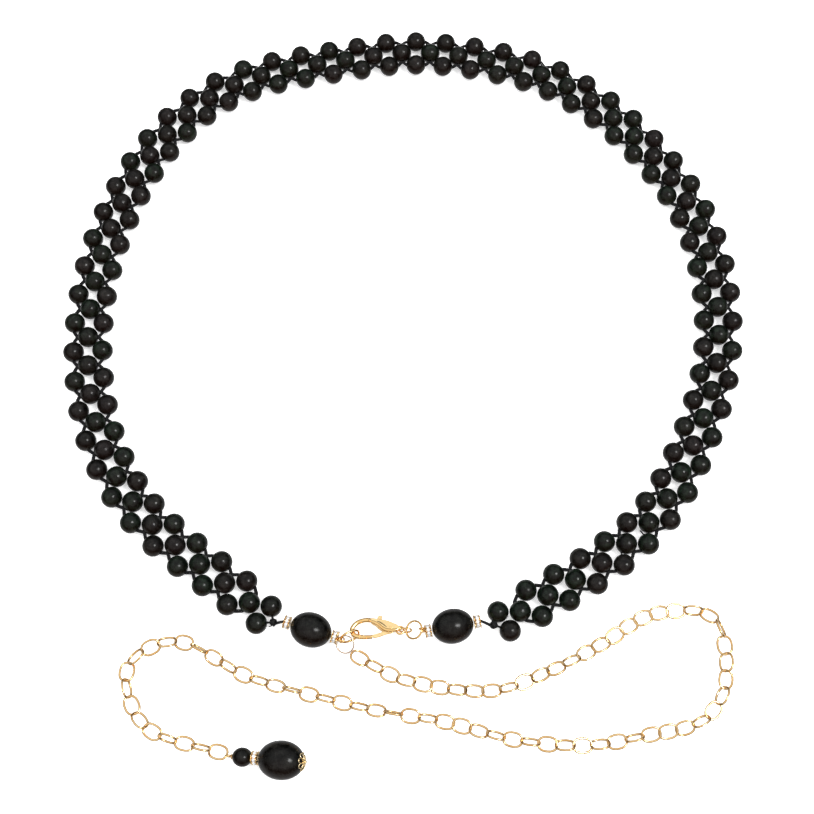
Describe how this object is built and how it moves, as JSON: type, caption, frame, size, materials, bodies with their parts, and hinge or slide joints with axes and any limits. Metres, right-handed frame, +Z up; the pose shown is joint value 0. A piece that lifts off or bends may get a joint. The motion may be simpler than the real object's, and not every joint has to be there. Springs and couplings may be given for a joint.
{
  "type": "beaded belt",
  "caption": "Beaded belt: a netted band of round dark glass beads closed by a lobster clasp between oval beads, with a long extender chain that ends in a bead drop.",
  "frame": {"origin": "on the table under the middle of the lying belt", "axes": "+Z up from the table, +Y from the clasp across the waist hollow to the far side of the band, +X along the clasp toward its tail"},
  "size_m": [0.272, 0.3146, 0.0141],
  "materials": {
    "bead_glass": "glossy near-black glass",
    "thread": "black twisted thread",
    "crystal": "rhinestone rondelle with gold rims",
    "clasp_gold": "polished yellow gold plate",
    "wire_gold": "polished pale gold wire",
    "chain_gold": "polished light gold wire links"
  },
  "bodies": {
    "belt": {"band_left": "bead_glass", "band_right": "bead_glass", "oval_left": "bead_glass", "oval_right": "bead_glass", "drop_bead": "bead_glass", "drop_oval": "bead_glass", "knot_left": "thread", "knot_right": "thread", "rondelle_left_outer": "crystal", "rondelle_left_inner": "crystal", "rondelle_right_inner": "crystal", "rondelle_right_outer": "crystal", "drop_rondelle": "crystal", "clasp_body": "clasp_gold", "eye_left": "wire_gold", "eye_right": "wire_gold", "hook_link": "wire_gold", "chain_ring": "wire_gold", "clasp_ring": "wire_gold", "round_ring": "wire_gold", "drop_eye": "wire_gold", "drop_cap": "wire_gold", "chain": "chain_gold"},
    "lever": {"clasp_lever": "clasp_gold"}
  },
  "joints": [
    {"name": "lever_hinge", "type": "hinge", "parent": "belt", "child": "lever", "pos_m": [-0.00481, -0.1012, 0.0028], "axis": [0, 0, -1], "range_deg": [0, 22], "stiffness_Nm_per_rad": 0.0005}
  ]
}
